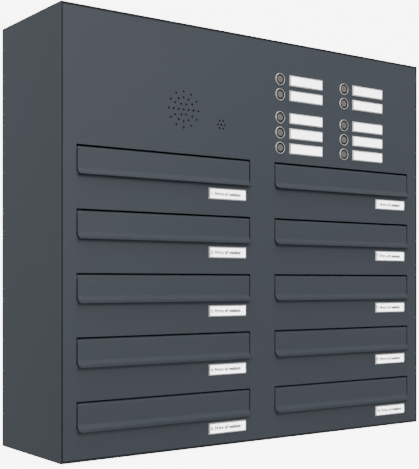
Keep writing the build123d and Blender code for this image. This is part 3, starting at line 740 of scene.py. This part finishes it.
def make_grommet(material):
    """Rubber ring that grips the cover's sheet."""
    low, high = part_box("cable_grommet")
    place = middle("cable_grommet")
    sheet_low, sheet_high = [corner[1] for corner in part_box("service_cover")]
    outer = (high[0] - low[0]) / 2
    neck, bore = GROMMET_NECK, GROMMET_BORE
    profile = [(bore, low[1] + MM), (bore + MM, low[1]), (outer - MM, low[1]),
               (outer, low[1] + MM), (outer, sheet_low), (neck, sheet_low), (neck, sheet_high),
               (outer, sheet_high), (outer, high[1] - MM), (outer - MM, high[1]),
               (bore + MM, high[1]), (bore, high[1] - MM), (bore, low[1] + MM)]
    ring_piece = turned("cable_grommet_ring", (place.x, place.z), profile, closed=True)
    soften(ring_piece, 0.3 * MM)
    finish_piece(ring_piece, material, "cabinet", "grommet_rubber", "cable_grommet")


# ------------------------------------------------------------------ letter flaps
def make_flap(name, low, high, pivot):
    """Flap rolled from one sheet: a hinge curl behind the top and a forward grip lip along the bottom."""
    bend = high[2] - FLAP_FLAT
    flap = block(name, (low[0], front_face, bend), (high[0], front_face + SHEET, pivot[2]))
    editing(flap)
    pick(flap, facing(2, -1))
    bpy.ops.mesh.spin(steps=12, angle=LIP_TURN, center=(low[0], front_face - LIP_RADIUS, bend),
                      axis=(1, 0, 0))
    push(0, -LIP_STRAIGHT * sin(LIP_TURN), -LIP_STRAIGHT * cos(LIP_TURN))
    pick(flap, facing(2, 1, pivot[2]))
    bpy.ops.mesh.spin(steps=20, angle=CURL_TURN, center=(low[0], pivot[1], pivot[2]), axis=(1, 0, 0))
    outward()
    done()
    return soften(flap, 0.35 * MM, 3)


def make_flaps(material):
    first_low, first_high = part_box("flap_left_1")
    model = make_flap("flap_model", first_low, first_high, joint_of["flap_left_1"]["pos_m"])
    for side, row in UNITS:
        node = f"flap_{side}_{row}"
        shift = Vector(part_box(node)[0]) - Vector(first_low)
        flap = copy_to(model, f"{node}_sheet", shift)
        finish_piece(flap, material, node, "powder_coat_front", node)
    discard(model)


# ------------------------------------------------------------------ rear doors and locks
def make_door(side):
    """Folded tray of the first door on a side, with the hole for its lock."""
    low, high = [Vector(corner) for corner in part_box(f"door_{side}_1")]
    lock = middle(f"lock_cam_{side}_1")
    back = casing_back
    door = block("door_model", (low.x, back - DOOR_RETURN, low.z), (high.x, back, high.z))
    editing(door)
    pick(door, facing(1, -1))
    inset(SHEET)
    push(y=DOOR_RETURN - SHEET)
    done()
    centre_z = (low.z + high.z) / 2
    cut(door, [rod("hole", (lock.x, centre_z), LOCK_HOLE, back - 5 * MM, back + MM, 48)])
    return soften(door, 0.7 * MM, 3)


def make_barrel(side):
    """Lock barrel with its domed rim, and the hexagonal nut that clamps it."""
    low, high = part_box(f"door_{side}_1")
    lock = middle(f"lock_cam_{side}_1")
    back = casing_back
    rim_face = high[1]
    inner_end = low[1]
    centre = (lock.x, (low[2] + high[2]) / 2)
    bore = LOCK_BORE
    profile = [(bore, inner_end), (BARREL_RADIUS, inner_end), (BARREL_RADIUS, back),
               (BARREL_RIM, back), (BARREL_RIM, rim_face - 0.9 * MM),
               (BARREL_RIM - MM, rim_face - 0.2 * MM), (BARREL_RIM - 1.8 * MM, rim_face),
               (bore + 0.4 * MM, rim_face), (bore, rim_face - 0.4 * MM), (bore, inner_end)]
    barrel = turned("barrel_model", centre, profile, 64, closed=True)
    nut_radius, nut_length = BARREL_NUT
    nut = rod("nut", centre, nut_radius, back - SHEET - nut_length, back - SHEET, 6)
    cut(nut, [rod("hole", centre, BARREL_NUT_BORE, back - 10 * MM, back + MM, 48)])
    return soften(join([barrel, nut], "barrel_model"), 0.2 * MM)


def make_cam(side):
    """Lock plug with a keyway in its face, and the cam that hangs from its inner end."""
    low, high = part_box(f"lock_cam_{side}_1")
    door_low, door_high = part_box(f"door_{side}_1")
    x = (low[0] + high[0]) / 2
    z = (door_low[2] + door_high[2]) / 2
    cam_front = low[1] + CAM_NUT
    cam_back = cam_front + CAM_SHEET
    face = high[1]
    profile = [(PLUG_RADIUS, cam_back), (PLUG_RADIUS, face - 0.5 * MM),
               (PLUG_RADIUS - 0.5 * MM, face)]
    plug = turned("plug", (x, z), profile, 48)
    keyway = block("keyway", (x - 0.8 * MM, face - 9 * MM, z - 4 * MM),
                   (x + 0.8 * MM, face + MM, z + 4 * MM))
    cut(plug, [keyway])
    arm = rod("arm", (x, z), CAM_HALF, cam_front, cam_back, 32)
    editing(arm)
    pick(arm, lambda face: face.normal.z < -0.05 and abs(face.normal.y) < 0.5)
    push(z=low[2] + CAM_HALF - z)
    done()
    nut = rod("cam_nut", (x, z), 4.5 * MM, low[1] + 0.5 * MM, cam_front, 6)
    stud = rod("cam_stud", (x, z), 2.5 * MM, low[1], cam_front - MM, 24)
    return soften(join([plug, arm, nut, stud], "cam_model"), 0.25 * MM)


def make_doors(door_material, lock_material):
    for side in SIDES:
        door = make_door(side)
        barrel = make_barrel(side)
        cam = make_cam(side)
        start = Vector(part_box(f"door_{side}_1")[0])
        for row in ROWS:
            node = f"door_{side}_{row}"
            cam_node = f"lock_cam_{side}_{row}"
            shift = Vector(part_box(node)[0]) - start
            tray = copy_to(door, f"{node}_tray", shift)
            finish_piece(tray, door_material, node, "powder_coat_casing", node)
            lock = copy_to(barrel, f"{node}_lock_barrel", shift)
            finish_piece(lock, lock_material, node, "chrome", node)
            plug = copy_to(cam, f"{cam_node}_plug", shift)
            finish_piece(plug, lock_material, cam_node, "chrome", cam_node)
        discard(door, barrel, cam)


# ------------------------------------------------------------------ bells
def bell_shifts():
    start = middle("bell_button_left_1")
    return [middle(f"bell_button_{side}_{row}") - start for side, row in UNITS]


def make_bezel(centre):
    """Bezel with a counterbore for the insert's flange, and the sleeve that goes through the panel."""
    face, end = [corner[1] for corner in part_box("bell_bezels")]
    rim = BEZEL_RADIUS
    bore = BEZEL_BORE
    seat = FLANGE_RADIUS + 0.05 * MM
    profile = [(bore, end), (BEZEL_SLEEVE, end), (BEZEL_SLEEVE, front_face), (rim, front_face),
               (rim, face + MM), (rim - 0.3 * MM, face + 0.3 * MM), (rim - 0.7 * MM, face),
               (seat + 0.2 * MM, face), (seat, face + 0.2 * MM), (seat, face + FLANGE_DEPTH),
               (bore, face + FLANGE_DEPTH), (bore, end)]
    return soften(turned("bezel_model", centre, profile, 64, closed=True), 0.12 * MM)


def make_insert(centre):
    """Insert that guides the cap, with the two solder tags at its back."""
    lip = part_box("bell_contacts")[0][1]
    floor = front_face + CAP_FLOOR
    back = front_face + INSERT_BACK
    flange_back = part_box("bell_bezels")[0][1] + FLANGE_DEPTH
    profile = [(CAP_GUIDE, floor), (CAP_GUIDE, lip + 0.3 * MM), (CAP_GUIDE + 0.3 * MM, lip),
               (FLANGE_RADIUS - 0.2 * MM, lip), (FLANGE_RADIUS, lip + 0.15 * MM),
               (FLANGE_RADIUS, flange_back), (INSERT_RADIUS, flange_back), (INSERT_RADIUS, back)]
    body = turned("insert_model", centre, profile, 48)
    tags = []
    for sign in (-1, 1):
        x = centre[0] + sign * TAG_SHIFT
        tags.append(block("tag", (x - TAG_HALF[0], back, centre[1] - TAG_HALF[1]),
                          (x + TAG_HALF[0], back + TAG_LENGTH, centre[1] + TAG_HALF[1])))
    return soften(join([body, *tags], "insert_model"), 0.1 * MM)


def make_cap(centre):
    """Push cap with a shallow dish in its face."""
    cap_low, cap_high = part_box("bell_button_left_1")
    face = cap_low[1]
    profile = [(0.4 * MM, face + 0.35 * MM), (2.8 * MM, face + 0.28 * MM),
               (4.9 * MM, face + 0.1 * MM), (5.8 * MM, face), (6.5 * MM, face + 0.1 * MM),
               (CAP_RADIUS, face + 0.6 * MM), (CAP_RADIUS, cap_high[1])]
    return soften(turned("cap_model", centre, profile, 48), 0.1 * MM)


def make_bells(steel, plastic, cap_material):
    """Bezel, insert and cap of each bell."""
    first = middle("bell_button_left_1")
    centre = (first.x, first.z)
    bezels = repeat(make_bezel(centre), bell_shifts(), "bell_bezel_rings")
    finish_piece(bezels, steel, "cabinet", "stainless", "bell_bezels")
    inserts = repeat(make_insert(centre), bell_shifts(), "bell_contact_inserts")
    finish_piece(inserts, plastic, "cabinet", "black_plastic", "bell_contacts")
    cap = make_cap(centre)
    for (side, row), shift in zip(UNITS, bell_shifts()):
        node = f"bell_button_{side}_{row}"
        button = copy_to(cap, f"{node}_cap", shift)
        finish_piece(button, cap_material, node, "button_metal", node)
    discard(cap)


def make_spring(start):
    """Coil spring along Y from its start, centred on the origin of X and Z."""
    clear_selection()
    bpy.ops.mesh.primitive_circle_add(
        vertices=10, radius=SPRING_WIRE, location=(SPRING_RADIUS, start, 0))
    coil = bpy.context.active_object
    coil.name = "spring_model"
    bpy.ops.object.transform_apply(location=True, rotation=True, scale=True)
    winding = coil.modifiers.new("winding", "SCREW")
    winding.axis = "Y"
    winding.screw_offset = SPRING_LENGTH / SPRING_TURNS
    winding.iterations = SPRING_TURNS
    winding.steps = SPRING_STEPS
    winding.render_steps = SPRING_STEPS
    winding.use_smooth_shade = True
    bpy.ops.object.modifier_apply(modifier=winding.name)
    editing(coil)
    bpy.ops.mesh.select_mode(type="EDGE")
    bpy.ops.mesh.select_all(action="DESELECT")
    bpy.ops.mesh.select_non_manifold()
    bpy.ops.mesh.edge_face_add()
    outward()
    done()
    return coil


def make_springs(material):
    """Return spring of each bell, between its cap and the floor of the insert."""
    start = front_face + SPRING_START
    model = make_spring(start)
    thickness = SPRING_LENGTH + 2 * SPRING_WIRE
    for side, row in UNITS:
        node = f"bell_button_{side}_{row}"
        place = middle(node)
        spring = copy_to(model, f"bell_spring_{side}_{row}", (place.x, 0, place.z))
        finish_piece(spring, material, "cabinet", "zinc_steel", "bell_springs")
        press = joint_of[node]
        travel = max(abs(limit) for limit in press["range_m"])
        1 - travel / thickness
        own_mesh(spring)
    discard(model)


# ------------------------------------------------------------------ name plates
def plate_centres():
    """Centres of the name plates beside the bells, then of those below the flaps."""
    bells = [middle(f"bell_button_{side}_{row}") for side, row in UNITS]
    beside = [(bell.x + BELL_PLATE_SHIFT, bell.z) for bell in bells]
    corners = [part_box(f"flap_{side}_{row}")[1] for side, row in UNITS]
    below = [(corner[0] - FLAP_PLATE_INSET, corner[2] - FLAP_PLATE_DROP) for corner in corners]
    return beside, below


def make_plate_frame():
    """Bevelled frame with a rebate behind its border, centred on the origin of X and Z."""
    front = front_face
    half = PLATE_HALF
    rise = PLATE_DEPTH - PLATE_BEVEL
    piece = block("frame_model", (-half[0], front - rise, -half[1]), (half[0], front, half[1]))
    editing(piece)
    pick(piece, facing(1, -1))
    push(y=-PLATE_BEVEL)
    ratio = [(side - PLATE_BEVEL) / side for side in half]
    bpy.ops.transform.resize(value=(ratio[0], 1, ratio[1]), center_override=(0, front, 0))
    inset(PLATE_BORDER - PLATE_BEVEL)
    pick(piece, facing(1, 1))
    inset(PLATE_BORDER - PLATE_REBATE)
    push(y=-PLATE_POCKET)
    inset(PLATE_REBATE)
    levels = (front - PLATE_POCKET, front - PLATE_DEPTH)

    def opening(face):
        centre = face.calc_center_median()
        central = hypot(centre.x, centre.z) < MM and faces_front_or_back(face)
        return central and any(abs(centre.y - level) < 0.1 * MM for level in levels)

    pick(piece, opening)
    bpy.ops.mesh.bridge_edge_loops()
    outward()
    done()
    return soften(piece, 0.15 * MM)


def make_names(centres, material):
    """Printed names on the cards below the flaps."""
    words = []
    for number, (x, z) in enumerate(centres, 1):
        clear_selection()
        place = (x - CARD_HALF[0] + NAME_INDENT, front_face - CARD_SHEET - HAIR, z)
        bpy.ops.object.text_add(location=place, rotation=(pi / 2, 0, 0))
        word = bpy.context.active_object
        word.data.body = f"{number}. Name of resident"
        word.data.align_y = "CENTER"
        word.data.size = NAME_SIZE
        word.data.offset = NAME_WEIGHT
        word.data.extrude = HAIR
        bpy.ops.object.convert(target="MESH")
        bpy.ops.object.transform_apply(location=True, rotation=True, scale=True)
        words.append(word)
    names = join(words, "printed_names")
    finish_piece(names, material, "cabinet", "paper")


def make_plates(silver, card, window_material, ink_material):
    """Frame, card and window of every name plate, and the names printed on ten of the cards."""
    front = front_face
    beside, below = plate_centres()
    shifts = [Vector((x, 0, z)) for x, z in beside + below]
    frames = repeat(make_plate_frame(), shifts, "name_plate_frames")
    finish_piece(frames, silver, "cabinet", "frame_silver", "nameplate_frames")
    half = CARD_HALF
    insert = block("card", (-half[0], front - CARD_SHEET, -half[1]), (half[0], front, half[1]))
    cards = repeat(soften(insert, 0.1 * MM), shifts, "name_cards")
    finish_piece(cards, card, "cabinet", "paper", "nameplate_inserts")
    pane = block("pane", (-half[0], front - PLATE_POCKET + HAIR, -half[1]),
                 (half[0], front - CARD_SHEET - 0.1 * MM, half[1]))
    panes = repeat(soften(pane, 0.15 * MM), shifts, "name_plate_windows")
    finish_piece(panes, window_material, "cabinet", "clear_window", "nameplate_windows")
    make_names(below, ink_material)


# ------------------------------------------------------------------ fasteners
def make_screw(name, seat, radius, height, shank, length):
    """Pan-head screw with a cross recess, along Y: the head stands behind its seat."""
    tip, crown = seat - length, seat + height
    profile = [(shank - 0.5 * MM, tip), (shank, tip + 0.6 * MM), (shank, seat), (radius, seat),
               (radius, seat + height * 0.45), (radius * 0.88, seat + height * 0.82),
               (radius * 0.62, crown)]
    piece = turned(name, ORIGIN, profile, 32)
    arm, web, depth = radius * 0.58, radius * 0.12, height * 0.6
    recess = [block("recess", (-half_x, crown - depth, -half_z), (half_x, crown + MM, half_z))
              for half_x, half_z in ((arm, web), (web, arm))]
    cut(piece, recess)
    return soften(piece, 0.12 * MM)


def make_ring_nut(name, low, length, radii, sides):
    """Nut along Y from its low end, with its outer radius and its bore's radius."""
    radius, bore = radii
    high = low + length
    piece = rod(name, ORIGIN, radius, low, high, sides)
    cut(piece, [rod("hole", ORIGIN, bore, low - MM, high + MM, 40)])
    return soften(piece, 0.25 * MM)


def panel_screw_places(casing_high):
    side_x = casing_high[0] - PANEL_SCREW_INSET
    levels = (PANEL_SCREW_INSET, casing_high[2] - PANEL_SCREW_INSET)
    sides = [(sign * side_x, 0, rise) for sign in (-1, 1) for rise in PANEL_SCREW_RISES]
    return sides + [(sign * PANEL_SCREW_SPREAD, 0, z) for sign in (-1, 1) for z in levels]


def cover_screw_places():
    cover_low, cover_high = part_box("service_cover")
    low, high = cover_low[2] + COVER_SCREW_ABOVE, cover_high[2] - COVER_SCREW_BELOW
    rows = [(step * COVER_SCREW_SPREAD, 0, z) for step in (-1, 0, 1) for z in (low, high)]
    return rows + [(sign * COVER_SCREW_SIDE, 0, (low + high) / 2) for sign in (-1, 1)]


def make_fasteners(material):
    """Panel screws with their rivet nuts, cover screws, housing screws and the nuts behind the bells."""
    casing_low, casing_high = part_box("casing")
    front = casing_low[1]
    seat = front + PANEL_RETURN + SHEET
    rivet_start = front + PANEL_RETURN - PANEL_SHEET - RIVET_NUT_LENGTH
    panel = panel_screw_places(casing_high)
    bells = []
    for side, row in UNITS:
        bell = middle(f"bell_button_{side}_{row}")
        bells.append((bell.x, 0, bell.z))
    panel_screw = make_screw("panel_screw", seat, *PANEL_SCREW)
    panel_screws = repeat(panel_screw, panel, "panel_screws")
    rivet_nut = make_ring_nut("rivet_nut", rivet_start, RIVET_NUT_LENGTH, RIVET_NUT_RADII, 32)
    rivet_nuts = repeat(rivet_nut, panel, "rivet_nuts")
    cover_screw = make_screw("cover_screw", casing_back, *COVER_SCREW)
    cover_screws = repeat(cover_screw, cover_screw_places(), "cover_screws")
    bell_nut = make_ring_nut("bell_nut", front + PANEL_SHEET, BELL_NUT_LENGTH, BELL_NUT_RADII, 6)
    bell_nuts = repeat(bell_nut, bells, "bell_nuts")
    upright = make_screw("housing_screw", 0, *HOUSING_SCREW)
    upright.data.transform(Matrix.Rotation(pi / 2, 4, "X"))
    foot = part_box("intercom_module")[0][2] + MODULE_FOOT
    x, y = MODULE_SCREW_PLACE
    places = [(sx * x, sy * y, foot) for sx in (-1, 1) for sy in (-1, 1)]
    housing_screws = repeat(upright, places, "housing_screws")
    sets = [panel_screws, rivet_nuts, cover_screws, bell_nuts, housing_screws]
    finish_piece(join(sets, "screws_and_nuts_set"), material, "cabinet", "zinc_steel", "screws_and_nuts")


# ------------------------------------------------------------------ the rest of the CAD nodes
def paint_cad(materials):
    """Gives each CAD node that stays its finish."""
    for node, material in materials.items():
        piece = frame["nodes"][node]
        piece.data.materials.clear()
        piece.data.materials.append(material)


# ------------------------------------------------------------------ studio
def make_floor():
    clear_selection()
    bpy.ops.mesh.primitive_plane_add(size=40, location=(0, 0, 0))
    floor = bpy.context.active_object
    floor.name = "studio_ground"
    floor.data.materials.append(studio_floor())
    floor.visible_diffuse = False
    floor.visible_glossy = False


def make_sky():
    """Soft light from all round, weaker from below, with a white backdrop behind the object."""
    world = bpy.data.worlds.new("studio_world")
    world.use_nodes = True
    tree = world.node_tree
    sky = tree.nodes["Background"]
    sky.inputs["Color"].default_value = (1, 1, 1, 1)
    direction = tree.nodes.new("ShaderNodeTexCoord")
    parts = tree.nodes.new("ShaderNodeSeparateXYZ")
    level = tree.nodes.new("ShaderNodeMapRange")
    level.inputs["From Min"].default_value = -1
    level.inputs["To Min"].default_value = SKY_BELOW
    level.inputs["To Max"].default_value = SKY_ABOVE
    tree.links.new(direction.outputs["Generated"], parts.inputs[0])
    tree.links.new(parts.outputs["Z"], level.inputs["Value"])
    tree.links.new(level.outputs[0], sky.inputs["Strength"])
    backdrop = tree.nodes.new("ShaderNodeBackground")
    backdrop.inputs["Strength"].default_value = BACKDROP
    rays = tree.nodes.new("ShaderNodeLightPath")
    either = tree.nodes.new("ShaderNodeMixShader")
    tree.links.new(rays.outputs["Is Camera Ray"], either.inputs["Fac"])
    tree.links.new(sky.outputs[0], either.inputs[1])
    tree.links.new(backdrop.outputs[0], either.inputs[2])
    tree.links.new(either.outputs[0], tree.nodes["World Output"].inputs["Surface"])
    bpy.context.scene.world = world


def make_lights():
    for name, (place, power, size) in LIGHTS.items():
        data = bpy.data.lights.new(name, "AREA")
        data.energy = power
        data.size = size
        lamp = bpy.data.objects.new(name, data)
        lamp.location = place
        aim = LIGHT_AIM - Vector(place)
        lamp.rotation_euler = aim.to_track_quat("-Z", "Y").to_euler()
        bpy.context.scene.collection.objects.link(lamp)


def make_camera():
    """A level camera to the left of the bank, low against it, looking along its front."""
    data = bpy.data.cameras.new("camera")
    data.lens = CAMERA_LENS
    data.sensor_width = 36
    data.shift_y = CAMERA_RISE
    camera = bpy.data.objects.new("camera", data)
    camera.location = CAMERA_PLACE
    camera.rotation_euler = CAMERA_TURN
    bpy.context.scene.collection.objects.link(camera)
    bpy.context.scene.camera = camera


def main():
    casing_coat = powder_coat("powder_coat_casing", CASING_GREY, False)
    front_coat = powder_coat("powder_coat_front", FRONT_GREY, True)
    rubber_black = rubber()
    plastic = black_plastic()
    sheet_zinc = galvanised()
    zinc = zinc_plate()
    make_camera()
    make_shell(casing_coat)
    make_front_panel(front_coat)
    make_shade_sleeves(plastic)
    make_seal(rubber_black)
    make_cover(casing_coat)
    make_grommet(rubber_black)
    make_flaps(front_coat)
    make_doors(casing_coat, nickel())
    make_bells(stainless(), plastic, button_metal())
    make_springs(zinc)
    make_plates(frame_silver(), paper(), clear_acrylic(), ink())
    make_fasteners(zinc)
    paint_cad({
        "centre_divider": sheet_zinc, "compartment_shelves": sheet_zinc,
        "hinge_rods": zinc, "flap_hinge_brackets": zinc, "flap_bumpers": rubber_black,
        "speaker": plastic, "microphone": rubber_black, "intercom_module": grey_housing(),
    })
    make_floor()
    make_sky()
    make_lights()


main()
